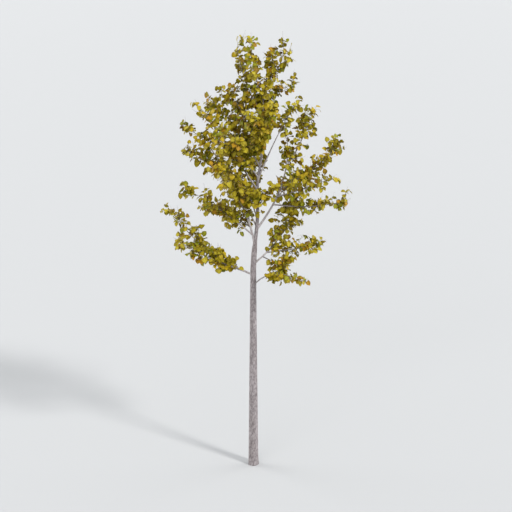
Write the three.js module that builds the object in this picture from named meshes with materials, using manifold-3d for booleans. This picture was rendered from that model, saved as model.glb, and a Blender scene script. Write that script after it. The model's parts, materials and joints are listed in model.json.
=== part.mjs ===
// A young linden in early autumn, rooted in the ground: one straight trunk that forks half way up, thin
// boughs that are bare near the trunk, and a sleeve of shoots and leaves round the outer part of every bough.
// Millimetres, +Z up, origin at the centre of the flat cut through the trunk at ground level.
// A heading is an angle about +Z in degrees: 0 is +X, 90 is +Y. A rise is an angle above level.
import * as THREE from "three";
import { mergeVertices } from "three/addons/utils/BufferGeometryUtils.js";
import Module from "manifold-3d";

const wasm = await Module();
wasm.setup();

// Trunk sizes
const TRUNK_LENGTH = 5500; // flat cut to the cut tip of the leader
const TRUNK_VANISH = 6000; // height where the taper would run out
const TRUNK_DIAMETER = 140; // at the ground, without the root flare
const TRUNK_TAPER = 0.88; // exponent of the taper, 1 is a straight cone
const FORK_HEIGHT = 3225; // where the second stem leaves
const FORK_DEPTH = 90; // half the height over which the trunk slims at the fork
const FORK_SLIMMING = 0.28; // share of its girth the trunk loses there
const FLARE_SWELL = 4; // extra radius at the ground
const FLARE_HEIGHT = 90;
const FLARE_LOBES = 5; // root ridges round the foot
const FLARE_LOBE_SHARE = 0.05;
const LEAN_FROM = 2900; // the trunk stands upright below this height
const LEAN = 0.066; // sideways travel for each unit of height above it
const SWAY = 18; // size of the slow bends above LEAN_FROM
const SWAY_LENGTH = 1100;
const SWAY_START = -0.3; // where in a bend the sway begins, in turns
const TRUNK_SIDES = 14;
const TRUNK_RINGS = 28;

// Bough and twig sizes
const FIT_GAP = 0.3; // clearance where one piece meets the next
const SMALLEST_DETAIL = 0.05; // anything finer left by joining and cutting is smoothed away
const KNEE_SHARE = 0.6; // how far along its chord a limb holds the rise it leaves its foot with
const LIMB_FOOT_RADIUS = 7.5; // of the shortest limb
const WOOD_PER_LENGTH = 0.0032; // further radius a limb needs for each unit of its length
const WOOD_JOIN_POWER = 5; // power of the radius that adds up where one limb carries another
const LIMB_TIP_RADIUS = 3;
const LIMB_TAPER = 0.85;
const COLLAR_SWELL = 0.35; // extra share of radius at a bough's foot
const COLLAR_LENGTH = 45;
const BOUGH_SIDES = 5;
const BOUGH_RING_GAP = 130;
const STEM_RING_GAP = 200;
const TWIG_SIDES = 3;
const TWIG_RINGS = 1;
const SHOOT_GAP = 135; // along the leafy part of a limb
const SHOOT_PLACE = [0.25, 0.75]; // where a shoot stands within its own gap
const SHOOT_ANGLE = [42.5, 57.5]; // between a shoot and its limb, degrees
const SHOOT_LENGTH = [0.7, 1.2]; // share of the limb's longest shoots
const SHOOT_TIP_SHARE = 0.7; // length of the last shoots against the first
const SHOOT_LIFT = 0.2; // share of its length by which a shoot turns upward
const SHOOT_TESTS = 6; // places along a shoot that must lie in its limb's space
const SHOOT_RADIUS = 4;
const SHOOT_TIP_RADIUS = 3;
const GOLDEN_TURN = 137.5; // degrees between one shoot and the next round the limb

// Leaf sizes: fewer and larger than on the living tree
const LEAF_LENGTH = 150;
const LEAF_WIDTH = 130;
const LEAF_THICKNESS = 4;
const LEAF_SIZE = [0.8, 1.1]; // smallest and largest leaf against these sizes
const LEAF_SUNK = 1.2; // how far the root lies behind the twig's centre
const LEAF_WIDEST = 0.42; // where along its length a leaf is widest
const LEAF_THICKEST = 0.2;
const LEAF_GAP = 112; // along a twig
const LEAF_PLACE = [0.85, 0.95]; // where a leaf stands within its own gap
const LAST_LEAF = 0.97; // share of the twig's length where its last leaf stands
const LEAF_ANGLE = 58; // between a leaf and its twig, degrees
const LEAF_DROOP = 0.25; // how strongly a leaf's tip is drawn downward
const LEAF_HANG = [15, 75]; // how far below level a leaf leaves its twig, degrees
const TERRITORY_MARGIN = 7; // how far inside its own space a mass keeps
const LIMB_CLEARANCE = 9; // between a leaf or twig and any bough or the trunk
const SAMPLE_GAP = 35; // between the places on a limb that its space is measured from

// The limbs. Columns: name, what it grows on, foot (height on the trunk or distance along a limb), heading,
// rise at the foot, how far out and up its tip stands from its foot, bare length, length of its first shoots.
const LIMB_TABLE = [
  ["lower_left", "trunk", 2815, 192, 25, 1075, 950, 300, 200],
  ["lower_right", "trunk", 2662, 332, 50, 720, 165, 260, 220],
  ["right_low", "trunk", 2965, 18, 36, 610, 770, 270, 260],
  ["right_spread", "right_low", 236, 345, 10, 740, 175, 160, 200],
  ["right_under", "right_low", 160, 345, -25, 340, -100, 60, 200],
  ["right_main", "trunk", 3450, 4, 52, 345, 1500, 1000, 110],
  ["right_reach", "right_main", 400, 345, -4, 975, 115, 80, 150],
  ["right_out", "right_main", 520, 333, 18, 790, 335, 80, 160],
  ["right_up", "right_main", 620, 20, 24, 860, 580, 80, 160],
  ["right_fork", "right_main", 930, 25, 52, 350, 690, 80, 170],
  ["right_inner", "trunk", 4120, 337, 68, 550, 1060, 740, 120],
  ["right_top", "trunk", 5060, 30, 50, 480, 280, 0, 160],
  ["top_right", "trunk", 5400, 335, 36, 240, 530, 0, 150],
  ["leader", "trunk", TRUNK_LENGTH + FIT_GAP, 346, 81, 40, 290, 0, 160],
  ["top_left", "trunk", 5150, 230, 62, 240, 770, 0, 160],
  ["top_left_out", "trunk", 4950, 155, 55, 360, 900, 0, 170],
  ["left_main", "trunk", FORK_HEIGHT, 168, 80, 940, 1250, 1000, 140],
  ["left_low", "left_main", 150, 197, 42, 920, 690, 300, 150],
  ["left_upper", "left_main", 940, 160, 73, 620, 710, 100, 150],
  ["left_high", "trunk", 3990, 201, 56, 810, 1170, 300, 190],
  ["left_top", "trunk", 4480, 160, 60, 430, 810, 120, 240],
  ["left_inner", "trunk", 3590, 238, 62, 380, 600, 0, 220],
  ["front_left", "left_main", 420, 245, 50, 780, 760, 120, 210],
  ["front_low", "trunk", 3740, 305, 52, 330, 360, 60, 140],
  ["front_mid", "trunk", 4150, 228, 48, 800, 590, 200, 260],
  ["front_high", "trunk", 4420, 262, 50, 640, 640, 0, 240],
  ["front_right", "trunk", 4620, 280, 48, 620, 520, 0, 135],
  ["back_left", "trunk", 3480, 118, 38, 1000, 600, 360, 260],
  ["back", "trunk", 3720, 98, 42, 1000, 740, 350, 270],
  ["back_right", "right_main", 480, 62, 20, 850, 160, 250, 210],
  ["back_low", "left_main", 260, 140, 16, 780, 160, 0, 220],
  ["back_left_high", "trunk", 4300, 142, 50, 830, 820, 200, 290],
  ["back_right_high", "trunk", 4520, 84, 48, 680, 480, 200, 180],
  ["lower_left_out", "lower_left", 140, 208, 24, 980, 560, 90, 150],
];

const UP = new THREE.Vector3(0, 0, 1);
const ALONG_X = new THREE.Vector3(1, 0, 0);
const NEARLY_UPRIGHT = 0.97; // upward share of a direction that has no clear level side
const WELD = 1e-4; // corners closer than this are one

// Draws numbers from 0 to 1 in an order fixed by the seed.
function seeded(seed) {
  let state = Math.imul(seed, 2654435761) >>> 0;
  return () => {
    state = (Math.imul(1664525, state) + 1013904223) >>> 0;
    return state / 2 ** 32;
  };
}

// The number that a draw from 0 to 1 picks out of a range.
function pick([least, most], drawn) {
  return THREE.MathUtils.lerp(least, most, drawn);
}

function headingVector(heading) {
  const angle = THREE.MathUtils.degToRad(heading);
  return new THREE.Vector3(Math.cos(angle), Math.sin(angle), 0);
}

// A unit vector at right angles to a direction, turned round it by some degrees from level.
function sideways(direction, turn) {
  const reference = Math.abs(direction.z) > NEARLY_UPRIGHT ? ALONG_X : UP;
  const level = new THREE.Vector3().crossVectors(direction, reference).normalize();
  return level.applyAxisAngle(direction, THREE.MathUtils.degToRad(turn));
}

// A cylinder of unit size, bent along a curve and swelled to the radius wanted at each place.
function bentCylinder(curve, radiusAt, sides, rings) {
  const geometry = new THREE.CylinderGeometry(1, 1, 1, sides, rings);
  const frames = curve.computeFrenetFrames(rings, false);
  const position = geometry.attributes.position;
  const vertex = new THREE.Vector3();
  for (let i = 0; i < position.count; i++) {
    vertex.fromBufferAttribute(position, i);
    const ring = Math.round((vertex.y + 0.5) * rings);
    const share = ring / rings;
    const radius = radiusAt(share, Math.atan2(vertex.z, vertex.x));
    const place = curve.getPoint(share);
    place.addScaledVector(frames.normals[ring], -radius * vertex.x);
    place.addScaledVector(frames.binormals[ring], radius * vertex.z);
    position.setXYZ(i, place.x, place.y, place.z);
  }
  return geometry;
}

// Hands a closed three.js geometry over as a solid for joining and cutting.
function solidOf(geometry) {
  geometry.deleteAttribute("normal");
  geometry.deleteAttribute("uv");
  const closed = mergeVertices(geometry, WELD);
  const mesh = new wasm.Mesh({
    numProp: 3,
    vertProperties: new Float32Array(closed.attributes.position.array),
    triVerts: new Uint32Array(closed.index.array),
  });
  return new wasm.Manifold(mesh);
}

// The outer skin of the largest body: loose scraps go, sealed hollows are filled.
function largestBody(solid) {
  const bodies = solid.simplify(SMALLEST_DETAIL).decompose();
  return bodies.reduce((best, body) => (body.volume() > best.volume() ? body : best));
}

function meshOf(name, solid, material) {
  const { vertProperties, triVerts } = solid.getMesh();
  const geometry = new THREE.BufferGeometry();
  geometry.setAttribute("position", new THREE.BufferAttribute(vertProperties, 3));
  geometry.setIndex(new THREE.BufferAttribute(triVerts, 1));
  geometry.computeVertexNormals();
  const mesh = new THREE.Mesh(geometry, material.clone());
  mesh.name = name;
  return mesh;
}

// Trunk: upright to the fork, then leaning and swaying a little to its tip
class TrunkLine extends THREE.Curve {
  getPoint(share) {
    const height = share * TRUNK_LENGTH;
    const above = Math.max(0, height - LEAN_FROM);
    const settled = Math.min(1, above / SWAY_LENGTH);
    const turn = 2 * Math.PI * (above / SWAY_LENGTH + SWAY_START);
    const x = LEAN * above + SWAY * settled * Math.sin(turn);
    const y = SWAY * settled * Math.cos(turn);
    return new THREE.Vector3(x, y, height);
  }
}

const trunkLine = new TrunkLine();

function trunkRadius(share, around, extra = 0) {
  const height = share * TRUNK_LENGTH;
  const cone = (TRUNK_DIAMETER / 2) * (1 - height / TRUNK_VANISH) ** TRUNK_TAPER;
  const past = THREE.MathUtils.smoothstep(height, FORK_HEIGHT - FORK_DEPTH, FORK_HEIGHT + FORK_DEPTH);
  const fade = Math.exp(-height / FLARE_HEIGHT);
  const lobes = 1 + FLARE_LOBE_SHARE * fade * Math.cos(FLARE_LOBES * around);
  return (cone * (1 - FORK_SLIMMING * past) + FLARE_SWELL * fade) * lobes + extra;
}

function trunkSolid(extra) {
  const radiusAt = (share, around) => trunkRadius(share, around, extra);
  return solidOf(bentCylinder(trunkLine, radiusAt, TRUNK_SIDES, TRUNK_RINGS));
}

// Limbs: the table turned into curves, thickest where they carry other limbs
const limbs = new Map();

LIMB_TABLE.forEach(([name, parentName, foot, heading, rise, out, up, bare, spread], index) => {
  const parent = limbs.get(parentName) ?? null;
  const onTrunk = trunkLine.getPoint(foot / TRUNK_LENGTH);
  const start = parent ? parent.curve.getPointAt(foot / parent.length) : onTrunk;
  const level = headingVector(heading);
  const riseAngle = THREE.MathUtils.degToRad(rise);
  const knee = KNEE_SHARE * Math.hypot(out, up);
  const bend = start.clone().addScaledVector(level, knee * Math.cos(riseAngle));
  bend.z += knee * Math.sin(riseAngle);
  const tip = start.clone().addScaledVector(level, out).addScaledVector(UP, up);
  const curve = new THREE.QuadraticBezierCurve3(start, bend, tip);
  const length = curve.getLength();
  const radius = LIMB_FOOT_RADIUS + WOOD_PER_LENGTH * length;
  for (let carrier = parent; carrier; carrier = carrier.parent) {
    const joined = carrier.radius ** WOOD_JOIN_POWER + radius ** WOOD_JOIN_POWER;
    carrier.radius = joined ** (1 / WOOD_JOIN_POWER);
  }
  limbs.set(name, { name, parent, curve, length, radius, bare, spread, seed: index + 1 });
});

function limbRadius(limb, along) {
  const share = along / limb.length;
  const taper = (1 - share) ** LIMB_TAPER;
  return LIMB_TIP_RADIUS + (limb.radius - LIMB_TIP_RADIUS) * taper;
}

// The part of a limb from one distance along it to another, as a curve of its own.
class Stretch extends THREE.Curve {
  constructor(limb, from, to) {
    super();
    Object.assign(this, { limb, from, to });
  }

  alongAt(share) {
    return THREE.MathUtils.lerp(this.from, this.to, share);
  }

  getPoint(share) {
    return this.limb.curve.getPointAt(this.alongAt(share) / this.limb.length);
  }
}

function boughSolid(limb, extra) {
  const stretch = new Stretch(limb, 0, limb.bare);
  const radiusAt = (share) => {
    const along = stretch.alongAt(share);
    const collar = 1 + COLLAR_SWELL * Math.exp(-along / COLLAR_LENGTH);
    return limbRadius(limb, along) * collar + extra;
  };
  const rings = Math.max(2, Math.round(limb.bare / BOUGH_RING_GAP));
  return solidOf(bentCylinder(stretch, radiusAt, BOUGH_SIDES, rings));
}

// Spaces: every leafy stem owns what lies nearer to it than to any other stem
const leafyPoints = [];
const woodPoints = [];

for (const limb of limbs.values()) {
  const samples = Math.round(limb.length / SAMPLE_GAP);
  for (let i = 0; i <= samples; i++) {
    const along = (limb.length * i) / samples;
    const point = limb.curve.getPointAt(i / samples);
    if (along > limb.bare) {
      leafyPoints.push({ point, limb });
    } else {
      woodPoints.push({ point, radius: limbRadius(limb, along) });
    }
  }
}
for (let height = 0; height <= TRUNK_LENGTH; height += SAMPLE_GAP) {
  const share = height / TRUNK_LENGTH;
  woodPoints.push({ point: trunkLine.getPoint(share), radius: trunkRadius(share, 0) });
}

function inOwnSpace(limb, point) {
  let own = Infinity;
  let other = Infinity;
  for (const sample of leafyPoints) {
    const distance = sample.point.distanceTo(point);
    if (sample.limb === limb) {
      own = Math.min(own, distance);
    } else {
      other = Math.min(other, distance);
    }
  }
  const clearOfWood = woodPoints.every(
    ({ point: wood, radius }) => wood.distanceTo(point) > radius + LIMB_CLEARANCE,
  );
  return own + TERRITORY_MARGIN < other && clearOfWood;
}

// Shoots: spiralling round the leafy stem, shorter toward its tip, turning upward
function shootCurve(foot, direction, length) {
  const middle = foot.clone().addScaledVector(direction, length / 2);
  const tip = foot.clone().addScaledVector(direction, length).addScaledVector(UP, SHOOT_LIFT * length);
  return new THREE.QuadraticBezierCurve3(foot, middle, tip);
}

function shootsOf(limb, draw) {
  const leafy = limb.length - limb.bare;
  const count = Math.max(2, Math.round(leafy / SHOOT_GAP));
  const firstTurn = 360 * draw();
  const shoots = [];
  for (let k = 0; k < count; k++) {
    const place = (k + pick(SHOOT_PLACE, draw())) / count;
    const share = (limb.bare + leafy * place) / limb.length;
    const forward = limb.curve.getTangentAt(share);
    const across = sideways(forward, firstTurn + k * GOLDEN_TURN);
    const angle = THREE.MathUtils.degToRad(pick(SHOOT_ANGLE, draw()));
    const direction = forward.multiplyScalar(Math.cos(angle)).addScaledVector(across, Math.sin(angle));
    const shortening = THREE.MathUtils.lerp(1, SHOOT_TIP_SHARE, place);
    const length = limb.spread * shortening * pick(SHOOT_LENGTH, draw());
    shoots.push(shootCurve(limb.curve.getPointAt(share), direction, length));
  }
  return shoots;
}

// Leaf: an eight-faced kite in the plane of its twig, thickest near the root, which is sunk in the twig
function leafGeometry(foot, forward, across, length) {
  const scale = length / LEAF_LENGTH;
  const droop = UP.clone().multiplyScalar(-LEAF_DROOP);
  const angle = THREE.MathUtils.degToRad(LEAF_ANGLE);
  const axis = forward.clone().multiplyScalar(Math.cos(angle)).addScaledVector(across, Math.sin(angle));
  axis.add(droop).normalize();
  const thick = new THREE.Vector3().crossVectors(axis, forward).normalize();
  const wide = new THREE.Vector3().crossVectors(thick, axis);
  const geometry = new THREE.OctahedronGeometry(1);
  const position = geometry.attributes.position;
  const vertex = new THREE.Vector3();
  for (let i = 0; i < position.count; i++) {
    vertex.fromBufferAttribute(position, i);
    const middle = Math.abs(vertex.y) > 0.5 ? LEAF_WIDEST : LEAF_THICKEST;
    const reach = Math.abs(vertex.x) > 0.5 ? (vertex.x + 1) / 2 : middle;
    const place = foot.clone().addScaledVector(axis, length * reach - LEAF_SUNK);
    place.addScaledVector(wide, (vertex.y * scale * LEAF_WIDTH) / 2);
    place.addScaledVector(thick, (vertex.z * scale * LEAF_THICKNESS) / 2);
    position.setXYZ(i, place.x, place.y, place.z);
  }
  return geometry;
}

function pointsOf(geometry) {
  const position = geometry.attributes.position;
  const corner = (_, i) => new THREE.Vector3().fromBufferAttribute(position, i);
  return Array.from({ length: position.count }, corner);
}

// Leaves along one twig, left and right by turns, with one at its tip; those that would leave the space go.
function leavesAlong(limb, curve, draw) {
  const length = curve.getLength();
  const count = Math.max(1, Math.round(length / LEAF_GAP));
  const solids = [];
  for (let k = 0; k < count; k++) {
    const share = Math.min(LAST_LEAF, (k + pick(LEAF_PLACE, draw())) / count);
    const forward = curve.getTangentAt(share);
    const hang = pick(LEAF_HANG, draw());
    const size = LEAF_LENGTH * pick(LEAF_SIZE, draw());
    const turns = k % 2 === 0 ? [hang, 180 - hang, -hang, 180 + hang] : [180 - hang, hang, 180 + hang, -hang];
    const choices = turns.map((turn) => {
      const across = sideways(forward, turn);
      return leafGeometry(curve.getPointAt(share), forward, across, size);
    });
    const leaf = choices.find((choice) => pointsOf(choice).every((point) => inOwnSpace(limb, point)));
    if (leaf) {
      solids.push(solidOf(leaf));
    }
  }
  return solids;
}

function foliageSolid(limb) {
  const draw = seeded(limb.seed);
  const from = limb.bare > 0 ? limb.bare + FIT_GAP : 0;
  const stem = new Stretch(limb, from, limb.length);
  const stemRadius = (share) => limbRadius(limb, stem.alongAt(share));
  const stemRings = Math.max(2, Math.round((limb.length - from) / STEM_RING_GAP));
  const solids = [solidOf(bentCylinder(stem, stemRadius, TWIG_SIDES, stemRings))];
  const shoots = shootsOf(limb, draw);
  const grown = shoots.filter((shoot) => {
    const pastFoot = shoot.getSpacedPoints(SHOOT_TESTS).slice(1);
    return pastFoot.every((point) => inOwnSpace(limb, point));
  });
  const shootRadius = (share) => THREE.MathUtils.lerp(SHOOT_RADIUS, SHOOT_TIP_RADIUS, share);
  for (const shoot of grown) {
    solids.push(solidOf(bentCylinder(shoot, shootRadius, TWIG_SIDES, TWIG_RINGS)));
    solids.push(...leavesAlong(limb, shoot, draw));
  }
  solids.push(...leavesAlong(limb, stem, draw));
  return wasm.Manifold.union(solids);
}

// The tree put together
const bark = new THREE.MeshStandardMaterial({ color: 0x9a9393, roughness: 0.85, metalness: 0 });
const foliage = new THREE.MeshStandardMaterial({ color: 0x8c7f26, roughness: 0.6, metalness: 0 });

const tree = new THREE.Group();
tree.name = "linden_sapling";
tree.add(meshOf("trunk", trunkSolid(0), bark));

for (const limb of limbs.values()) {
  const host = limb.parent ? boughSolid(limb.parent, FIT_GAP) : trunkSolid(FIT_GAP);
  if (limb.bare > 0) {
    tree.add(meshOf(`bough_${limb.name}`, largestBody(boughSolid(limb, 0).subtract(host)), bark));
  }
  const leafy = limb.bare > 0 ? foliageSolid(limb) : foliageSolid(limb).subtract(host);
  tree.add(meshOf(`leaves_${limb.name}`, largestBody(leafy), foliage));
}

export default tree;
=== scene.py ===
import json
import math
import random

import bpy
import numpy as np
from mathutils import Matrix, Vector, noise

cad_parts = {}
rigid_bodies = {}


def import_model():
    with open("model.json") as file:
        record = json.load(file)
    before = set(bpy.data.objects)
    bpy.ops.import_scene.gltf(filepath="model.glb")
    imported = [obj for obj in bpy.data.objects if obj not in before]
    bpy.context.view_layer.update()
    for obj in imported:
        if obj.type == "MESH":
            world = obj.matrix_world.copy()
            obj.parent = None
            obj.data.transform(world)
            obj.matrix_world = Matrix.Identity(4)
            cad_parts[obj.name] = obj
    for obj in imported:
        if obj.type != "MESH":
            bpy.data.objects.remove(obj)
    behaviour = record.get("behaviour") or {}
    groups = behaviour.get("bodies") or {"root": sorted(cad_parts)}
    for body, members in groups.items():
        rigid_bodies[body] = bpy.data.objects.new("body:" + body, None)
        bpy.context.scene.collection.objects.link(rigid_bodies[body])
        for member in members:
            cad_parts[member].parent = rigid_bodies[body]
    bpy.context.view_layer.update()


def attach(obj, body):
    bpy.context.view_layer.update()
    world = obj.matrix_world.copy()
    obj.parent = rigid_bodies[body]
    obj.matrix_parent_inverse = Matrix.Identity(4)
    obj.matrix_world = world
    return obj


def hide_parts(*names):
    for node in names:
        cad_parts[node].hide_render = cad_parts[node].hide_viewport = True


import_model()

# Trunk: the sapling's one upright stem, in pale pinkish grey young bark with shallow upright cracks.
# It is cut flat at the ground, slims where the second stem leaves it, and leans a little from there up.
TRUNK_LENGTH = 5.5
TRUNK_VANISH = 6.0  # height where the taper would run out
TRUNK_DIAMETER = 0.14
TRUNK_TAPER = 0.88
FORK_HEIGHT = 3.225
FORK_DEPTH = 0.09
FORK_SLIMMING = 0.28
FLARE_SWELL = 0.004
FLARE_HEIGHT = 0.09
FLARE_LOBES = 5
FLARE_LOBE_SHARE = 0.05
LEAN_FROM = 2.9
LEAN = 0.066
SWAY = 0.018
SWAY_LENGTH = 1.1
SWAY_START = -0.3
TRUNK_SIDES = 72
TRUNK_RING_GAP = 0.0056
BARK_DEPTH = 0.03  # height of the bark's plates as a share of the radius under them
PLATES_ROUND = 55.0  # bark plates to the metre round the stem
PLATES_UPRIGHT = 17.0  # and up it
CRUMBS_ROUND = 150.0
CRUMBS_UPRIGHT = 75.0
BARK_GROUND = 0.2  # height of the bark where it has neither plate nor crumb, from 0 in a crack to 1
PLATE_RISE = 1.5
CRUMB_RISE = 0.4
BARK_LEVEL = 0.7  # height of bark that lies at the stem's own radius
END_BARK = 0.5  # height of bark at the middle of a stem's two ends
STEEP = 0.9  # upward share of a direction from which a stem counts as upright
BARK_PALE = (0.285, 0.257, 0.258)
BARK_MIDDLE = (0.208, 0.183, 0.185)
BARK_CRACK = (0.12, 0.103, 0.105)
BARK_STOPS = (0.3, 0.46, 0.66)  # where crack, middle and pale bark lie on the scale of tones
BARK_SHINE = 0.3
BARK_ROUGHNESS = ((0.3, (0.95, 0.95, 0.95)), (0.7, (0.74, 0.74, 0.74)))  # in the cracks and on the plates
BARK_STRETCH = (1.0, 1.0, 0.45)  # the grain is drawn out along the stem
TRUNK_GRAIN = 75.0  # flecks to the metre
TRUNK_CRACKED = 0.5  # share of the relief in the bark's tones, the rest is flecks
FLECK_DETAIL = 5.0
FLECK_ROUGHNESS = 0.65
PATCH_SHARE = 0.12  # broad patches to each fleck
PATCH_DETAIL = 3.0
PATCH_ROUGHNESS = 0.5
PATCH_TONES = ((0.35, (0.78, 0.76, 0.75)), (0.65, (1.0, 1.0, 1.0)))
FIBRE_SHARE = 3.0  # fine fibres to each fleck
FIBRE_DETAIL = 5.0
FIBRE_ROUGHNESS = 0.6
FIBRE_STRENGTH = 0.4
FIBRE_DEPTH = 0.0015
NUMBER_MIX_INPUTS = (0, 2, 3)  # of the sockets of a mix, the share and the two numbers
COLOUR_MIX_INPUTS = (0, 6, 7)  # and the share and the two colours
COLOUR_MIX_OUTPUT = 2
UP = np.array([0.0, 0.0, 1.0])
ALONG_X = np.array([1.0, 0.0, 0.0])
ALONG_Y = np.array([0.0, 1.0, 0.0])


def unit(vector):
    return vector / np.linalg.norm(vector)


def trunk_centre(height):
    above = max(0.0, height - LEAN_FROM)
    settled = min(1.0, above / SWAY_LENGTH)
    turn = 2 * math.pi * (above / SWAY_LENGTH + SWAY_START)
    sway = SWAY * settled
    return np.array([LEAN * above + sway * math.sin(turn), sway * math.cos(turn), height])


def trunk_radius(height, around=math.pi / 2 / FLARE_LOBES):
    cone = TRUNK_DIAMETER / 2 * (1 - height / TRUNK_VANISH) ** TRUNK_TAPER
    past = min(1.0, max(0.0, (height - FORK_HEIGHT + FORK_DEPTH) / (2 * FORK_DEPTH)))
    slimmed = cone * (1 - FORK_SLIMMING * past * past * (3 - 2 * past))
    fade = math.exp(-height / FLARE_HEIGHT)
    return (slimmed + FLARE_SWELL * fade) * (1 + FLARE_LOBE_SHARE * fade * math.cos(FLARE_LOBES * around))


def bark_height(x, y, z):
    """How far the bark stands out at a place: upright plates, broken up by small crumbs."""
    plate = abs(noise.noise((x * PLATES_ROUND, y * PLATES_ROUND, z * PLATES_UPRIGHT)))
    crumb = noise.noise((x * CRUMBS_ROUND, y * CRUMBS_ROUND, z * CRUMBS_UPRIGHT))
    return min(1.0, max(0.0, BARK_GROUND + PLATE_RISE * plate + CRUMB_RISE * crumb))


class JoinedMesh:
    """Many stems or leaves gathered into one mesh."""

    def __init__(self, mark=None):
        self.mark = mark  # name of the number that is kept for each corner
        self.marks = []
        self.corners = []
        self.faces = []
        self.count = 0

    def add(self, corners, face_groups, marks=None):
        self.corners.append(corners)
        self.faces.extend(faces + self.count for faces in face_groups)
        self.marks.append(marks)
        self.count += len(corners)

    def make(self, name, material):
        mesh = bpy.data.meshes.new(name)
        faces = [face for group in self.faces for face in group.tolist()]
        mesh.from_pydata(np.concatenate(self.corners).tolist(), [], faces)
        mesh.polygons.foreach_set("use_smooth", [True] * len(mesh.polygons))
        mesh.materials.append(material)
        if self.mark:
            marked = mesh.attributes.new(self.mark, "FLOAT", "POINT")
            marked.data.foreach_set("value", np.concatenate(self.marks))
        piece = bpy.data.objects.new(name, mesh)
        bpy.context.scene.collection.objects.link(piece)
        return piece


def side_frames(line):
    """Two directions across a line at each of its points, carried along it without twisting."""
    forward = np.gradient(line, axis=0)
    forward /= np.linalg.norm(forward, axis=1)[:, None]
    across = [unit(np.cross(forward[0], UP if abs(forward[0][2]) < STEEP else ALONG_Y))]
    for direction in forward[1:]:
        across.append(unit(across[-1] - direction * np.dot(across[-1], direction)))
    across = np.array(across)
    return across, np.cross(forward, across)


def add_stem(joined, line, radii, sides, frames=None, rough=False):
    """Adds a closed stem along a line, with a radius for each ring or each corner; a rough one gets bark."""
    across, over = frames or side_frames(line)
    around = np.arange(sides) * 2 * math.pi / sides
    sideward = np.cos(around)[None, :, None] * across[:, None, :]
    ring = sideward + np.sin(around)[None, :, None] * over[:, None, :]
    radii = np.asarray(radii)
    radii = radii[:, None] if radii.ndim == 1 else radii
    corners = line[:, None, :] + ring * radii[:, :, None]
    heights = None
    if rough:
        heights = np.array([bark_height(*place) for place in corners.reshape(-1, 3)])
        lift = (heights.reshape(len(line), sides) - BARK_LEVEL) * BARK_DEPTH * radii
        corners = corners + ring * lift[:, :, None]
        heights = np.concatenate([heights, [END_BARK, END_BARK]])
    rings = len(line)
    i, j = np.meshgrid(np.arange(rings - 1), np.arange(sides), indexing="ij")
    after = (j + 1) % sides
    low, high = i * sides, (i + 1) * sides
    walls = np.stack([low + j, low + after, high + after, high + j], axis=-1)
    j = np.arange(sides)
    after = (j + 1) % sides
    foot, last = rings * sides, (rings - 1) * sides
    foot_cap = np.stack([after, j, np.full(sides, foot)], axis=-1)
    tip_cap = np.stack([last + j, last + after, np.full(sides, foot + 1)], axis=-1)
    corners = np.concatenate([corners.reshape(-1, 3), line[:1], line[-1:]])
    joined.add(corners, [walls.reshape(-1, 4), foot_cap, tip_cap], heights)


def link(material, source, output, target, socket):
    material.node_tree.links.new(source.outputs[output], target.inputs[socket])


def node(material, kind, **settings):
    made = material.node_tree.nodes.new(kind)
    for socket, value in settings.items():
        made.inputs[socket].default_value = value
    return made


def ramp(material, stops):
    """A colour ramp from (place, colour) stops."""
    made = material.node_tree.nodes.new("ShaderNodeValToRGB")
    elements = made.color_ramp.elements
    while len(elements) < len(stops):
        elements.new(1.0)
    for element, (place, colour) in zip(elements, stops):
        element.position = place
        element.color = (*colour, 1.0)
    return made


def cloudy(material, place, output, scale, detail, roughness):
    """A cloudy pattern of numbers round a half, laid out by a place."""
    pattern = node(material, "ShaderNodeTexNoise", Scale=scale, Detail=detail, Roughness=roughness)
    link(material, place, output, pattern, "Vector")
    return pattern


def kept_number(material, name):
    """The number of that name that a mesh keeps for each corner."""
    made = node(material, "ShaderNodeAttribute")
    made.attribute_name = name
    return made


def colour_by(material, one, other):
    """Gives the skin the product of two colours."""
    product = node(material, "ShaderNodeMix")
    product.data_type = "RGBA"
    product.blend_type = "MULTIPLY"
    share, first, second = COLOUR_MIX_INPUTS
    product.inputs[share].default_value = 1.0
    link(material, one, "Color", product, first)
    link(material, other, "Color", product, second)
    link(material, product, COLOUR_MIX_OUTPUT, material.node_tree.nodes["Principled BSDF"], "Base Color")


def roughen_by(material, pattern, output, stops):
    """Gives the skin a roughness that follows a pattern."""
    roughness = ramp(material, stops)
    link(material, pattern, output, roughness, "Fac")
    link(material, roughness, "Color", material.node_tree.nodes["Principled BSDF"], "Roughness")


def raise_by(material, pattern, strength, depth):
    """Gives the skin a fine relief that follows a pattern."""
    raised = node(material, "ShaderNodeBump", Strength=strength, Distance=depth)
    link(material, pattern, "Fac", raised, "Height")
    link(material, raised, "Normal", material.node_tree.nodes["Principled BSDF"], "Normal")


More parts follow.
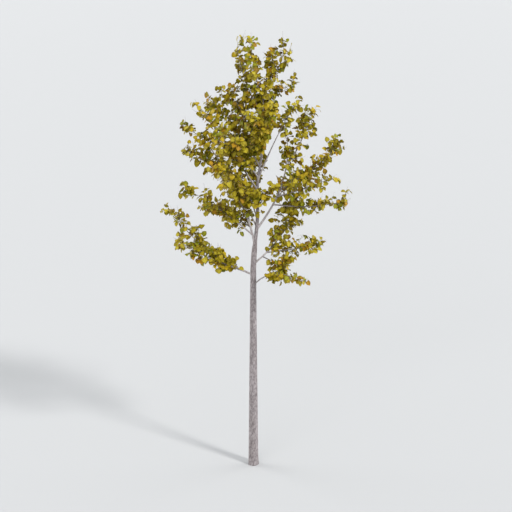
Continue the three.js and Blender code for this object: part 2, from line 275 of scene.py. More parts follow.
def bark_material(name, pale, middle, crack, grain, cracked):
    """Young bark: dark in its cracks, flecked and patched on its plates, rough, with a fine grain."""
    material = bpy.data.materials.new(name)
    material.use_nodes = True
    shader = material.node_tree.nodes["Principled BSDF"]
    shader.inputs["Specular IOR Level"].default_value = BARK_SHINE
    place = node(material, "ShaderNodeTexCoord")
    upright = node(material, "ShaderNodeMapping", Scale=BARK_STRETCH)
    link(material, place, "Object", upright, "Vector")
    flecks = cloudy(material, upright, "Vector", grain, FLECK_DETAIL, FLECK_ROUGHNESS)
    relief = kept_number(material, "bark_height")
    tone = node(material, "ShaderNodeMix")
    share, first, second = NUMBER_MIX_INPUTS
    tone.inputs[share].default_value = cracked
    link(material, flecks, "Fac", tone, first)
    link(material, relief, "Fac", tone, second)
    tones = ramp(material, list(zip(BARK_STOPS, (crack, middle, pale))))
    link(material, tone, 0, tones, "Fac")
    patches = cloudy(material, upright, "Vector", grain * PATCH_SHARE, PATCH_DETAIL, PATCH_ROUGHNESS)
    patch_tones = ramp(material, PATCH_TONES)
    link(material, patches, "Fac", patch_tones, "Fac")
    colour_by(material, tones, patch_tones)
    roughen_by(material, tone, 0, BARK_ROUGHNESS)
    fibres = cloudy(material, upright, "Vector", grain * FIBRE_SHARE, FIBRE_DETAIL, FIBRE_ROUGHNESS)
    raise_by(material, fibres, FIBRE_STRENGTH, FIBRE_DEPTH)
    return material


trunk_heights = np.linspace(0.0, TRUNK_LENGTH, int(TRUNK_LENGTH / TRUNK_RING_GAP) + 1)
trunk_line = np.array([trunk_centre(height) for height in trunk_heights])
around_trunk = np.arange(TRUNK_SIDES) * 2 * math.pi / TRUNK_SIDES
trunk_radii = np.array([
    [trunk_radius(height, around) for around in around_trunk] for height in trunk_heights
])
level_frames = (np.tile(ALONG_X, (len(trunk_line), 1)), np.tile(ALONG_Y, (len(trunk_line), 1)))
trunk_mesh = JoinedMesh("bark_height")
add_stem(trunk_mesh, trunk_line, trunk_radii, TRUNK_SIDES, frames=level_frames, rough=True)
trunk_skin = bark_material("trunk bark", BARK_PALE, BARK_MIDDLE, BARK_CRACK, TRUNK_GRAIN, TRUNK_CRACKED)
trunk_bark = trunk_mesh.make("trunk_bark", trunk_skin)
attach(trunk_bark, "root")
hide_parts("trunk")

# Boughs: the bare inner part of each limb, thin grey-barked wood grown out of the trunk or of another bough.
# A collar of swollen bark joins each one to what carries it, and it slims toward the leaves.

# Columns: limb, what it grows on, foot (height on the trunk or distance along a limb), heading about the
# trunk and rise at the foot in degrees, how far out and up the tip stands, bare length, length of its first
# shoots.
LIMB_TABLE = [
    ("lower_left", "trunk", 2.815, 192, 25, 1.075, 0.950, 0.300, 0.200),
    ("lower_right", "trunk", 2.662, 332, 50, 0.720, 0.165, 0.260, 0.220),
    ("right_low", "trunk", 2.965, 18, 36, 0.610, 0.770, 0.270, 0.260),
    ("right_spread", "right_low", 0.236, 345, 10, 0.740, 0.175, 0.160, 0.200),
    ("right_under", "right_low", 0.160, 345, -25, 0.340, -0.100, 0.060, 0.200),
    ("right_main", "trunk", 3.450, 4, 52, 0.345, 1.500, 1.000, 0.110),
    ("right_reach", "right_main", 0.400, 345, -4, 0.975, 0.115, 0.080, 0.150),
    ("right_out", "right_main", 0.520, 333, 18, 0.790, 0.335, 0.080, 0.160),
    ("right_up", "right_main", 0.620, 20, 24, 0.860, 0.580, 0.080, 0.160),
    ("right_fork", "right_main", 0.930, 25, 52, 0.350, 0.690, 0.080, 0.170),
    ("right_inner", "trunk", 4.120, 337, 68, 0.550, 1.060, 0.740, 0.120),
    ("right_top", "trunk", 5.060, 30, 50, 0.480, 0.280, 0.000, 0.160),
    ("top_right", "trunk", 5.400, 335, 36, 0.240, 0.530, 0.000, 0.150),
    ("leader", "trunk", TRUNK_LENGTH, 346, 81, 0.040, 0.290, 0.000, 0.160),
    ("top_left", "trunk", 5.150, 230, 62, 0.240, 0.770, 0.000, 0.160),
    ("top_left_out", "trunk", 4.950, 155, 55, 0.360, 0.900, 0.000, 0.170),
    ("left_main", "trunk", FORK_HEIGHT, 168, 80, 0.940, 1.250, 1.000, 0.140),
    ("left_low", "left_main", 0.150, 197, 42, 0.920, 0.690, 0.300, 0.150),
    ("left_upper", "left_main", 0.940, 160, 73, 0.620, 0.710, 0.100, 0.150),
    ("left_high", "trunk", 3.990, 201, 56, 0.810, 1.170, 0.300, 0.190),
    ("left_top", "trunk", 4.480, 160, 60, 0.430, 0.810, 0.120, 0.240),
    ("left_inner", "trunk", 3.590, 238, 62, 0.380, 0.600, 0.000, 0.220),
    ("front_left", "left_main", 0.420, 245, 50, 0.780, 0.760, 0.120, 0.210),
    ("front_low", "trunk", 3.740, 305, 52, 0.330, 0.360, 0.060, 0.140),
    ("front_mid", "trunk", 4.150, 228, 48, 0.800, 0.590, 0.200, 0.260),
    ("front_high", "trunk", 4.420, 262, 50, 0.640, 0.640, 0.000, 0.240),
    ("front_right", "trunk", 4.620, 280, 48, 0.620, 0.520, 0.000, 0.135),
    ("back_left", "trunk", 3.480, 118, 38, 1.000, 0.600, 0.360, 0.260),
    ("back", "trunk", 3.720, 98, 42, 1.000, 0.740, 0.350, 0.270),
    ("back_right", "right_main", 0.480, 62, 20, 0.850, 0.160, 0.250, 0.210),
    ("back_low", "left_main", 0.260, 140, 16, 0.780, 0.160, 0.000, 0.220),
    ("back_left_high", "trunk", 4.300, 142, 50, 0.830, 0.820, 0.200, 0.290),
    ("back_right_high", "trunk", 4.520, 84, 48, 0.680, 0.480, 0.200, 0.180),
    ("lower_left_out", "lower_left", 0.140, 208, 24, 0.980, 0.560, 0.090, 0.150),
]
KNEE_SHARE = 0.6  # how far along its chord a limb holds the rise it leaves its foot with
LIMB_FOOT_RADIUS = 0.0075
WOOD_PER_LENGTH = 0.0032
WOOD_JOIN_POWER = 5  # power of the radius that adds up where one limb carries another
LIMB_TIP_RADIUS = 0.0014
LIMB_TAPER = 0.85
LIMB_POINTS = 201  # on the bent line of a limb
LIMB_STEP = 0.004  # to either side of a place, where the limb's direction is taken
FEWEST_RINGS = 3
COLLAR_SWELL = 0.35
COLLAR_LENGTH = 0.045
BOUGH_SIDES = 16
BOUGH_RING_GAP = 0.007
BOUGH_PALE = (0.38, 0.35, 0.345)
BOUGH_MIDDLE = (0.29, 0.262, 0.257)
BOUGH_CRACK = (0.17, 0.148, 0.145)
BOUGH_GRAIN = 150.0
BOUGH_CRACKED = 0.35


class Limb:
    """One limb: a bent line from its foot to its tip, measured by the distance along it."""

    def __init__(self, number, name, parent, foot, heading, rise, out, up, bare, spread):
        start = parent.at(foot) if parent else trunk_centre(foot)
        level = np.array([math.cos(math.radians(heading)), math.sin(math.radians(heading)), 0.0])
        knee = KNEE_SHARE * math.hypot(out, up)
        bend = start + level * knee * math.cos(math.radians(rise)) + UP * knee * math.sin(math.radians(rise))
        tip = start + level * out + UP * up
        t = np.linspace(0.0, 1.0, LIMB_POINTS)[:, None]
        self.line = (1 - t) ** 2 * start + 2 * t * (1 - t) * bend + t ** 2 * tip
        steps = np.linalg.norm(np.diff(self.line, axis=0), axis=1)
        self.distances = np.concatenate([[0.0], np.cumsum(steps)])
        self.length = self.distances[-1]
        self.number = number
        self.name = name
        self.parent = parent
        self.bare = bare
        self.spread = spread
        self.carried = []  # where along it other limbs grow
        if parent:
            parent.carried.append(foot)
        self.foot_radius = LIMB_FOOT_RADIUS + WOOD_PER_LENGTH * self.length

    def at(self, along):
        return np.array([np.interp(along, self.distances, self.line[:, axis]) for axis in range(3)])

    def direction(self, along):
        return unit(self.at(min(self.length, along + LIMB_STEP)) - self.at(max(0.0, along - LIMB_STEP)))

    def radius(self, along):
        slim = (1 - min(1.0, along / self.length)) ** LIMB_TAPER
        return LIMB_TIP_RADIUS + (self.foot_radius - LIMB_TIP_RADIUS) * slim

    def stretch(self, start, end, gap):
        places = np.linspace(start, end, max(FEWEST_RINGS, int((end - start) / gap) + 1))
        return np.array([self.at(along) for along in places]), places


limbs = {}
for number, (name, carrier, *sizes) in enumerate(LIMB_TABLE, start=1):
    limb = Limb(number, name, limbs.get(carrier), *sizes)
    limbs[name] = limb
    parent = limb.parent
    while parent:
        joined = parent.foot_radius ** WOOD_JOIN_POWER + limb.foot_radius ** WOOD_JOIN_POWER
        parent.foot_radius = joined ** (1 / WOOD_JOIN_POWER)
        parent = parent.parent

bough_mesh = JoinedMesh("bark_height")
for limb in limbs.values():
    if limb.bare > 0:
        line, places = limb.stretch(0.0, limb.bare, BOUGH_RING_GAP)
        collars = 1 + COLLAR_SWELL * np.exp(-places / COLLAR_LENGTH)
        radii = np.array([limb.radius(along) for along in places]) * collars
        add_stem(bough_mesh, line, radii, BOUGH_SIDES, rough=True)
bough_skin = bark_material("bough bark", BOUGH_PALE, BOUGH_MIDDLE, BOUGH_CRACK, BOUGH_GRAIN, BOUGH_CRACKED)
bough_bark = bough_mesh.make("bough_bark", bough_skin)
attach(bough_bark, "root")
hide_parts(*[f"bough_{limb.name}" for limb in limbs.values() if limb.bare > 0])

# Shoots and twigs: each limb runs on among its leaves as a thin stem, with shoots spiralling round it.
# Finer side twigs stand between the shoots and short spurs on all of them; a small bud ends every tip.
SHOOT_GAP = 0.135
FEWEST_SHOOTS = 2
SHOOT_PLACE = (0.25, 0.75)  # where a shoot stands within its own gap
SHOOT_ANGLE = (42.5, 57.5)  # between a shoot and its limb
SHOOT_LENGTH = (0.7, 1.2)  # against the length that the table gives for the limb's first shoots
SHOOT_TIP_SHARE = 0.7  # length of the last shoots against the first
SHOOT_LIFT = 0.2  # share of its length by which a shoot turns upward
GOLDEN_TURN = 137.5
SHOOT_RADIUS = 0.0026
SHOOT_POINTS = 9
SHOOT_BARE_SHARE = 0.1
FOOT_POINTS = 2  # of a shoot's points, those at its foot that may lie close to the trunk
NEARLY_UPRIGHT = 0.97  # upward share of a direction that has no clear level side
TWIG_TIP_RADIUS = 0.001
SIDE_TWIG_GAP = 0.036
SIDE_TWIG_ANGLE = (45.0, 70.0)
SIDE_TWIG_LENGTH = (0.35, 1.0)
SIDE_TWIG_RADIUS = 0.002
SIDE_TWIG_POINTS = 6
STEM_OVERLAP = 0.01  # the stem among the leaves starts this far inside its bough
STEM_RING_GAP = 0.02
STEM_BARE_SHARE = 0.9
STEM_SIDES = 8
SHOOT_SIDES = 6
SPUR_SIDES = 4
STEM_SPUR_GAP = 0.022
BARE_FOOT = 0.3  # a bough bears no spurs for at least this length, where it is that long
SHOOT_SPUR_GAP = 0.06
LEAFY_WAVES = 3.5  # thickly and thinly leaved stretches come and go this often in a metre of limb
LEAFY_SHARE = 0.55  # share of the side twigs and spurs that a limb bears near its foot
TIP_THINNING = 0.3  # how much less of them it bears at its tip
TIP_THINNING_POWER = 3  # the higher, the nearer to the tip the thinning sets in
LEAFY_SWING = 0.8  # how far that share swings between thin and thick stretches
LEAFY_START = 14.1  # which drift of thin and thick stretches the limbs have
TWIG_SEED = 800  # with a limb's number, it fixes the draws for its side twigs and spurs
DRAW_RANGE = 2 ** 32
SEED_SPREAD = 2654435761  # sets the draws of neighbouring seeds far apart
DRAW_FACTOR = 1664525
DRAW_STEP = 1013904223
SPUR_LENGTH = (0.02, 0.08)
SPUR_ANGLE = (50.0, 80.0)
SPUR_RADIUS = 0.0015
SPUR_LIFT = 0.25
SPUR_POINTS = 3
SPUR_BARE_SHARE = 0.3
SPUR_SWING = 60.0  # how far a spur strays from the side that is its turn, in degrees
BARE_TIP_CHANCE = 0.3
BARE_TIP_LENGTH = (0.04, 0.1)
BARE_TIP_LIFT = 0.1
BARE_TIP_POINTS = 4
TRUNK_CLEARANCE = 0.012
BUD_LENGTH = 0.006
BUD_RADIUS = 0.0022
BUD_PROFILE = ((-0.1, 0.55), (0.4, 1.0), (1.0, 0.15))  # shares of its length and radius
TWIG_PALE = (0.33, 0.3, 0.285)
TWIG_MIDDLE = (0.22, 0.19, 0.175)
TWIG_DARK = (0.11, 0.088, 0.075)
TWIG_GRAIN = 240.0
TWIG_CRACKED = 0.0


def seeded(seed):
    """Draws numbers from 0 to 1 in an order fixed by the seed."""
    state = seed * SEED_SPREAD % DRAW_RANGE
    while True:
        state = (DRAW_FACTOR * state + DRAW_STEP) % DRAW_RANGE
        yield state / DRAW_RANGE


def pick(least_and_most, drawn):
    least, most = least_and_most
    return least + (most - least) * drawn


def turned(vector, axis, degrees):
    angle = math.radians(degrees)
    along = axis * np.dot(axis, vector) * (1 - math.cos(angle))
    return vector * math.cos(angle) + np.cross(axis, vector) * math.sin(angle) + along


def sideways(direction, turn):
    """A direction at right angles to another, turned round it by some degrees from level."""
    reference = ALONG_X if abs(direction[2]) > NEARLY_UPRIGHT else UP
    return turned(unit(np.cross(direction, reference)), direction, turn)


def leaning(forward, turn, degrees):
    """A direction that leaves another at an angle, on the side given by the turn."""
    angle = math.radians(degrees)
    return forward * math.cos(angle) + sideways(forward, turn) * math.sin(angle)


def twig_line(foot, direction, length, lift, points):
    """A twig that leaves its foot straight and turns upward toward its tip."""
    t = np.linspace(0.0, 1.0, points)[:, None]
    tip = foot + direction * length + UP * lift * length
    return (1 - t) ** 2 * foot + 2 * t * (1 - t) * (foot + direction * length / 2) + t ** 2 * tip


def clear_of_trunk(point):
    height = min(max(point[2], 0.0), TRUNK_LENGTH)
    away = np.linalg.norm((point - trunk_centre(height))[:2])
    return away > trunk_radius(height) + TRUNK_CLEARANCE or point[2] > TRUNK_LENGTH + TRUNK_CLEARANCE


def end_direction(line):
    return unit(line[-1] - line[-2])


def add_twig(joined, line, foot_radius, sides):
    """A tapering twig with a bud on its tip."""
    add_stem(joined, line, np.linspace(foot_radius, TWIG_TIP_RADIUS, len(line)), sides)
    bud = np.array([line[-1] + end_direction(line) * BUD_LENGTH * share for share, _ in BUD_PROFILE])
    add_stem(joined, bud, [BUD_RADIUS * share for _, share in BUD_PROFILE], SPUR_SIDES)


def bare_tip(line, chance):
    """The leafless end of a twig."""
    length = chance.uniform(*BARE_TIP_LENGTH)
    return twig_line(line[-1], end_direction(line), length, BARE_TIP_LIFT, BARE_TIP_POINTS)


def with_bare_tip(line, chance):
    """Some twigs run on without leaves for a little way."""
    if chance.random() > BARE_TIP_CHANCE:
        return line
    return np.concatenate([line, bare_tip(line, chance)[1:]])


def shoots_of(limb):
    """The limb's shoots, each with its place along the leafy part of the limb."""
    draw = seeded(limb.number)
    leafy = limb.length - limb.bare
    count = max(FEWEST_SHOOTS, math.floor(leafy / SHOOT_GAP + 0.5))
    first_turn = 360 * next(draw)
    for k in range(count):
        place = (k + pick(SHOOT_PLACE, next(draw))) / count
        along = limb.bare + leafy * place
        angle = pick(SHOOT_ANGLE, next(draw))
        direction = leaning(limb.direction(along), first_turn + k * GOLDEN_TURN, angle)
        length = limb.spread * pick((1.0, SHOOT_TIP_SHARE), place) * pick(SHOOT_LENGTH, next(draw))
        yield place, twig_line(limb.at(along), direction, length, SHOOT_LIFT, SHOOT_POINTS)


def leafiness(limb, along):
    """Share of the side twigs and spurs that a limb bears at a place."""
    thinning = TIP_THINNING * (along / limb.length) ** TIP_THINNING_POWER
    drift = noise.noise((limb.number, along * LEAFY_WAVES, LEAFY_START))
    return LEAFY_SHARE - thinning + LEAFY_SWING * drift


def side_twigs_of(limb, chance):
    """The finer twigs between the shoots, each with its place along the leafy part of the limb."""
    leafy = limb.length - limb.bare
    turn = 360 * chance.random()
    for along in np.arange(limb.bare + SIDE_TWIG_GAP / 2, limb.length, SIDE_TWIG_GAP):
        turn += GOLDEN_TURN
        place = (along - limb.bare) / leafy
        direction = leaning(limb.direction(along), turn, chance.uniform(*SIDE_TWIG_ANGLE))
        length = limb.spread * pick((1.0, SHOOT_TIP_SHARE), place) * chance.uniform(*SIDE_TWIG_LENGTH)
        if chance.random() < leafiness(limb, along):
            yield place, twig_line(limb.at(along), direction, length, SHOOT_LIFT, SIDE_TWIG_POINTS)


twig_mesh = JoinedMesh()
spur_mesh = JoinedMesh()
sprays = []  # every twig that carries leaves: its line, the share of it that is bare, its place on the limb
for limb in limbs.values():
    chance = random.Random(limb.number + TWIG_SEED)
    line, places = limb.stretch(max(0.0, limb.bare - STEM_OVERLAP), limb.length, STEM_RING_GAP)
    sprays.append((line, STEM_BARE_SHARE, 1.0))
    add_stem(twig_mesh, line, [limb.radius(along) for along in places], STEM_SIDES)
    add_twig(twig_mesh, bare_tip(line, chance), LIMB_TIP_RADIUS, SHOOT_SIDES)

    spur_feet = []
    first_spur = max(min([limb.bare, *limb.carried]), min(limb.bare, BARE_FOOT))
    turn = 360 * chance.random()
    for along in np.arange(first_spur + STEM_SPUR_GAP, limb.length, STEM_SPUR_GAP):
        turn += GOLDEN_TURN
        if chance.random() < leafiness(limb, along):
            spur_feet.append((limb.at(along), limb.direction(along), turn, along / limb.length))

    grown = [(*shoot, SHOOT_RADIUS, SHOOT_SIDES) for shoot in shoots_of(limb)]
    grown += [(*twig, SIDE_TWIG_RADIUS, SPUR_SIDES) for twig in side_twigs_of(limb, chance)]
    for place, shoot, radius, sides in grown:
        if not all(clear_of_trunk(point) for point in shoot[FOOT_POINTS:]):
            continue
        sprays.append((shoot, SHOOT_BARE_SHARE, place))
        length = np.linalg.norm(shoot[-1] - shoot[0])
        side = chance.choice((0.0, 180.0))
        for share in np.arange(SHOOT_SPUR_GAP, length, SHOOT_SPUR_GAP) / length:
            side += 180.0
            index = min(len(shoot) - 2, int(share * (len(shoot) - 1)))
            forward = unit(shoot[index + 1] - shoot[index])
            turn = side + chance.uniform(-SPUR_SWING, SPUR_SWING)
            spur_feet.append((shoot[index], forward, turn, place))
        add_twig(twig_mesh, with_bare_tip(shoot, chance), radius, sides)

    for foot, forward, turn, place in spur_feet:
        direction = leaning(forward, turn, chance.uniform(*SPUR_ANGLE))
        spur = twig_line(foot, direction, chance.uniform(*SPUR_LENGTH), SPUR_LIFT, SPUR_POINTS)
        if clear_of_trunk(spur[-1]):
            add_twig(spur_mesh, spur, SPUR_RADIUS, SPUR_SIDES)
            sprays.append((spur, SPUR_BARE_SHARE, place))
twig_skin = bark_material("twig bark", TWIG_PALE, TWIG_MIDDLE, TWIG_DARK, TWIG_GRAIN, TWIG_CRACKED)
twig_bark = twig_mesh.make("twig_bark", twig_skin)
spur_bark = spur_mesh.make("spur_bark", twig_skin)
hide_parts(*[f"leaves_{limb.name}" for limb in limbs.values()])
for piece in (twig_bark, spur_bark):
    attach(piece, "root")

# Leaves: thin heart-shaped blades with a drawn-out tip, lightly folded along the midrib, on slim stalks.
# Each spray has turned to one of a few autumn tints, from olive green through yellow to amber.
LEAF_LENGTH = 0.063
LEAF_SIZE = (0.7, 1.2)
END_LEAF_SHARE = 0.9  # size of the leaves at a limb's tip against those further in
END_LEAF_POWER = 3  # the higher, the nearer to the tip they shrink
LEAF_GAP = 0.039  # between leaves on a twig
LEAF_ROWS = (0.0, 0.07, 0.18, 0.32, 0.47, 0.62, 0.76, 0.87, 0.945)  # along the midrib, the tip comes after
LEAF_HALF_WIDTHS = (0.18, 0.37, 0.465, 0.49, 0.47, 0.405, 0.3, 0.175, 0.075)
LEAF_COLUMNS = (-1.0, -0.5, 0.0, 0.5, 1.0)  # across the blade, from edge to edge
LEAF_LOBE = 0.11  # how far the heart's lobes reach behind the stalk
LOBE_ROUNDING = 1.6
LOBE_FADING = 4  # the higher, the sooner the lobes end along the blade
LEFT_WIDTH = 1.06  # the two halves of a linden leaf are uneven
RIGHT_WIDTH = 0.97
LEAF_FOLD = (0.05, 0.35)  # slope of the halves up from the midrib
LEAF_ARCH = (0.05, 0.3)  # how far the tip droops, as a share of the length
LEAF_CUP = (-0.35, 0.25)
LEAF_TWIST = (-0.2, 0.2)
LEAF_RIPPLE = (0.01, 0.035)  # height of the waves along the edge
RIPPLE_ALONG = 9.0
RIPPLE_ACROSS = 2.0
TIP_DROOP = 1.05
TIP_RIB = 0.5  # how near to the midrib the tip counts as, from 0 at the edge to 1
LEAF_SHAPES = 8
SHAPE_SEED = 7
SPRAY_SEED = 11
STALK_SHARE = 0.34  # length of the stalk against the blade
STALK_LENGTH = (0.6, 1.3)  # share of that length
STALK_RADIUS = 0.0008
STALK_PROFILE = (1.3, 1.0, 1.0)  # shares of that radius from the twig to the blade
STALK_SIDES = 3
STALK_FORWARD = 0.5  # which way a stalk leaves its twig: along it
STALK_SIDEWARD = 0.85  # to its side
STALK_UPWARD = 0.25  # and up
BLADE_ONWARD = 0.7  # which way a blade points: on along its stalk
BLADE_DROOP = (0.2, 1.0)  # down
BLADE_STRAY = 0.25  # and loosely
FACING_UP = 0.5  # which way its upper side faces: up
FACING_OUT = 0.5  # away from the trunk
FACING_SIDE = 0.45  # away from its twig
FACING_STRAY = 0.33  # and loosely
LEAF_SWING = 60.0  # how far a leaf strays from the side that is its turn, in degrees
TINY = 1e-6  # keeps a direction from having no length
SHADE_REACH = 0.16  # leaves nearer to the trunk than this stand in the crown's own shade
SHADE_TOP = 4.5  # up to this height
SHADE_SHARE = 0.3  # share of the shaded leaves that have not fallen yet
LEAF_TINTS = {  # colour and share of the sprays
    "olive": ((0.202, 0.162, 0.004), 0.3),
    "moss": ((0.157, 0.157, 0.005), 0.13),
    "straw": ((0.272, 0.223, 0.012), 0.28),
    "gold": ((0.285, 0.208, 0.006), 0.19),
    "amber": ((0.25, 0.14, 0.005), 0.06),
    "umber": ((0.143, 0.088, 0.004), 0.05),
}
STALK_COLOUR = (0.24, 0.19, 0.04)
DARK_BLOTCH = (0.76, 0.68, 0.6)  # shares of a tint's red, green and blue
LIGHT_BLOTCH = (1.17, 1.17, 1.17)
RUSTY_BLOTCH = (1.05, 0.68, 0.8)
BLOTCH_STOPS = (0.32, 0.46, 0.58, 0.64, 0.7)  # dark, plain, light from here to here, rusty
BLOTCHES = 46.0  # to the metre
BLOTCH_DETAIL = 4.0
BLOTCH_ROUGHNESS = 0.6
RIB_TONES = (  # from the browner edge to the paler midrib
    (0.0, (0.72, 0.62, 0.6)),
    (0.25, (1.0, 1.0, 1.0)),
    (0.8, (1.0, 1.0, 1.0)),
    (1.0, (1.35, 1.35, 1.8)),
)
LEAF_SHINE = 0.15
LEAF_ROUGHNESS = ((0.3, (0.66, 0.66, 0.66)), (0.7, (0.48, 0.48, 0.48)))
PUCKERS = 320.0  # to the metre
PUCKER_DETAIL = 3.0
PUCKER_ROUGHNESS = 0.5
PUCKER_STRENGTH = 0.25
PUCKER_DEPTH = 0.001


def leaf_shape(chance):
    """One blade of unit length along x, with y across it and z out of its upper side.

    The last of the four arrays says how near each corner is to the midrib.
    """
    fold = chance.uniform(*LEAF_FOLD)
    arch = chance.uniform(*LEAF_ARCH)
    cup = chance.uniform(*LEAF_CUP)
    twist = chance.uniform(*LEAF_TWIST)
    ripple = chance.uniform(*LEAF_RIPPLE)
    corners = []
    rib = []
    for row, half_width in zip(LEAF_ROWS, LEAF_HALF_WIDTHS):
        for column in LEAF_COLUMNS:
            y = column * half_width * (LEFT_WIDTH if column < 0 else RIGHT_WIDTH)
            x = row - LEAF_LOBE * abs(column) ** LOBE_ROUNDING * (1 - row) ** LOBE_FADING
            z = fold * abs(y) - arch * row ** 2 + cup * y * y + twist * y * row
            z += ripple * math.sin(RIPPLE_ALONG * row + RIPPLE_ACROSS * column) * abs(column)
            corners.append((x, y, z))
            rib.append(1 - abs(column))
    corners.append((1.0, 0.0, -arch * TIP_DROOP))
    rib.append(TIP_RIB)
    across = len(LEAF_COLUMNS)
    faces = []
    for i in range(len(LEAF_ROWS) - 1):
        for j in range(across - 1):
            a = across * i + j
            faces.append((a, a + across, a + across + 1, a + 1))
    last = across * (len(LEAF_ROWS) - 1)
    tip = len(corners) - 1
    ends = [(last + j, tip, last + j + 1) for j in range(across - 1)]
    return np.array(corners), np.array(faces), np.array(ends), np.array(rib)


def blotched(colour, shares):
    return tuple(channel * share for channel, share in zip(colour, shares))


def leaf_material(name, colour):
    """A leaf's skin: its tint, blotched, paler along the midrib, browner at the edge, finely puckered."""
    material = bpy.data.materials.new(name)
    material.use_nodes = True
    shader = material.node_tree.nodes["Principled BSDF"]
    shader.inputs["Specular IOR Level"].default_value = LEAF_SHINE
    place = node(material, "ShaderNodeTexCoord")
    blotches = cloudy(material, place, "Object", BLOTCHES, BLOTCH_DETAIL, BLOTCH_ROUGHNESS)
    dark = blotched(colour, DARK_BLOTCH)
    light = blotched(colour, LIGHT_BLOTCH)
    rusty = blotched(colour, RUSTY_BLOTCH)
    tones = ramp(material, list(zip(BLOTCH_STOPS, (dark, colour, light, light, rusty))))
    link(material, blotches, "Fac", tones, "Fac")
    rib = kept_number(material, "rib")
    rib_tones = ramp(material, RIB_TONES)
    link(material, rib, "Fac", rib_tones, "Fac")
    colour_by(material, tones, rib_tones)
    roughen_by(material, blotches, "Fac", LEAF_ROUGHNESS)
    puckers = cloudy(material, place, "Object", PUCKERS, PUCKER_DETAIL, PUCKER_ROUGHNESS)
    raise_by(material, puckers, PUCKER_STRENGTH, PUCKER_DEPTH)
    return material


shape_chance = random.Random(SHAPE_SEED)
shapes = [leaf_shape(shape_chance) for _ in range(LEAF_SHAPES)]
tint_names = list(LEAF_TINTS)
tint_shares = [share for _, share in LEAF_TINTS.values()]
leaves = {tint: JoinedMesh("rib") for tint in LEAF_TINTS}
stalks = JoinedMesh()


def fallen(place, chance):
    """Most leaves close to the trunk, in the crown's own shade, have dropped already."""
    shaded = place[2] < SHADE_TOP and np.linalg.norm((place - trunk_centre(place[2]))[:2]) < SHADE_REACH
    return shaded and chance.random() > SHADE_SHARE


def loose_vector(chance):
    return np.array([chance.gauss(0, 1) for _ in range(3)])


def hang_leaf(joined, chance, foot, forward, turn, size):
    """One leaf: its stalk leaves the twig sideways, and the blade hangs from it and faces the light."""
    side = sideways(forward, turn)
    stalk_way = unit(STALK_FORWARD * forward + STALK_SIDEWARD * side + STALK_UPWARD * UP)
    stalk_length = STALK_SHARE * size * chance.uniform(*STALK_LENGTH)
    base = foot + stalk_way * stalk_length
    hanging = BLADE_ONWARD * stalk_way - UP * chance.uniform(*BLADE_DROOP)
    axis = unit(hanging + BLADE_STRAY * loose_vector(chance))
    outward = base - trunk_centre(min(base[2], TRUNK_LENGTH))
    outward[2] = 0.0
    facing = FACING_UP * UP + FACING_OUT * unit(outward + TINY) + FACING_SIDE * side
    facing = facing + FACING_STRAY * loose_vector(chance)
    upper = unit(facing - axis * np.dot(facing, axis))
    across = np.cross(upper, axis)
    if not (clear_of_trunk(base) and clear_of_trunk(base + axis * size)):
        return
    corners, faces, ends, rib = shapes[chance.randrange(LEAF_SHAPES)]
    placed = base + size * (corners[:, :1] * axis + corners[:, 1:2] * across + corners[:, 2:] * upper)
    joined.add(placed, [faces, ends], rib)
    stalk_line = np.array([foot, (foot + base) / 2, base])
    add_stem(stalks, stalk_line, STALK_RADIUS * np.array(STALK_PROFILE), STALK_SIDES)


spray_chance = random.Random(SPRAY_SEED)
for line, bare_share, place in sprays:
    steps = np.linalg.norm(np.diff(line, axis=0), axis=1)
    distances = np.concatenate([[0.0], np.cumsum(steps)])
    length = distances[-1]
    tint = spray_chance.choices(tint_names, tint_shares)[0]
    turn = spray_chance.choice((0.0, 180.0))
    for along in [*np.arange(bare_share * length, length, LEAF_GAP), length]:
        index = min(len(line) - 2, int(np.searchsorted(distances, along, side="right")) - 1)
        share = (along - distances[index]) / steps[index]
        foot = line[index] + (line[index + 1] - line[index]) * share
        forward = unit(line[index + 1] - line[index])
        turn += 180.0
        shrinking = pick((1.0, END_LEAF_SHARE), place ** END_LEAF_POWER)
        size = LEAF_LENGTH * shrinking * spray_chance.uniform(*LEAF_SIZE)
        if not fallen(foot, spray_chance):
            strayed = turn + spray_chance.uniform(-LEAF_SWING, LEAF_SWING)
            hang_leaf(leaves[tint], spray_chance, foot, forward, strayed, size)

for tint, (colour, _) in LEAF_TINTS.items():
    leaf_piece = leaves[tint].make(f"leaves_{tint}_tint", leaf_material(f"{tint} leaf", colour))
    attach(leaf_piece, "root")
stalk_piece = stalks.make("leaf_stalks", leaf_material("leaf stalk", STALK_COLOUR))
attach(stalk_piece, "root")

# Floor: a plain pale studio floor, one flat sheet at the height of the trunk's cut.
# It only stands under the tree and is wide enough to fill the picture.
FLOOR_SIZE = 800.0
FLOOR_COLOUR = (0.37, 0.37, 0.37, 1.0)
FLOOR_ROUGHNESS = 0.9
floor_mesh = bpy.data.meshes.new("floor")
half = FLOOR_SIZE / 2
floor_corners = [(-half, -half, 0), (half, -half, 0), (half, half, 0), (-half, half, 0)]
floor_mesh.from_pydata(floor_corners, [], [(0, 1, 2, 3)])
floor = bpy.data.objects.new("floor", floor_mesh)
bpy.context.scene.collection.objects.link(floor)
floor_paint = bpy.data.materials.new("pale floor")
floor_paint.use_nodes = True
floor_shader = floor_paint.node_tree.nodes["Principled BSDF"]
floor_shader.inputs["Base Color"].default_value = FLOOR_COLOUR
floor_shader.inputs["Roughness"].default_value = FLOOR_ROUGHNESS
floor_mesh.materials.append(floor_paint)

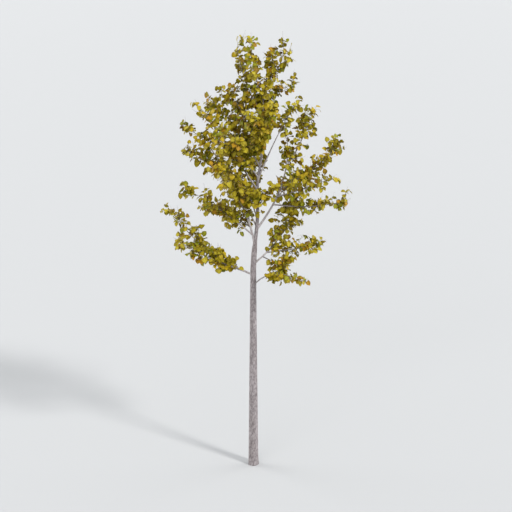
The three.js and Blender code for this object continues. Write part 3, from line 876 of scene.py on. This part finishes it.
# Light: a pale sky all round, a key from the front and right that casts a soft shadow, a broad light that
# fills in from the front, and one on either side that brightens the edges of the trunk. All of them are far
# off, so the floor is lit evenly.
SKY_COLOUR = (0.92, 0.96, 1.0, 1.0)
SKY_STRENGTH = 0.95
LIGHTS = {  # the direction it comes from, its strength, and its breadth as seen from the tree in degrees
    "key light": ((0.9, -0.7, 0.95), 2.7, 9.0),
    "front light": ((-0.4, -1.0, 0.45), 1.4, 40.0),
    "left light": ((-1.0, 0.45, 0.3), 2.5, 40.0),
    "right light": ((1.0, 0.45, 0.3), 1.9, 40.0),
}
world = bpy.data.worlds.new("studio")
world.use_nodes = True
world.node_tree.nodes["Background"].inputs["Color"].default_value = SKY_COLOUR
world.node_tree.nodes["Background"].inputs["Strength"].default_value = SKY_STRENGTH
bpy.context.scene.world = world
bpy.context.scene.view_settings.view_transform = "Standard"
for name, (comes_from, strength, breadth) in LIGHTS.items():
    lamp = bpy.data.lights.new(name, "SUN")
    lamp.energy = strength
    lamp.angle = math.radians(breadth)
    holder = bpy.data.objects.new(name, lamp)
    holder.rotation_euler = (-Vector(comes_from)).to_track_quat("-Z", "Y").to_euler()
    bpy.context.scene.collection.objects.link(holder)

# Camera: it looks at the tree from the front, from a little higher than the crown's top.
# It is tipped down by the photo's angle and stands as far off as makes the tree as large as there.
CAMERA_TILT = 16.0
CAMERA_DISTANCE = 13.794
CAMERA_AIM = (0.0371, 0.0, 3.0784)
CAMERA_FIELD = 28.0
SENSOR_WIDTH = 36.0  # in millimetres
camera = bpy.data.cameras.new("camera")
camera.sensor_width = SENSOR_WIDTH
camera.angle = math.radians(CAMERA_FIELD)
viewpoint = bpy.data.objects.new("camera", camera)
tilt = math.radians(CAMERA_TILT)
viewpoint.location = (
    CAMERA_AIM[0],
    CAMERA_AIM[1] - CAMERA_DISTANCE * math.cos(tilt),
    CAMERA_AIM[2] + CAMERA_DISTANCE * math.sin(tilt),
)
viewpoint.rotation_euler = (math.pi / 2 - tilt, 0.0, 0.0)
bpy.context.scene.collection.objects.link(viewpoint)
bpy.context.scene.camera = viewpoint
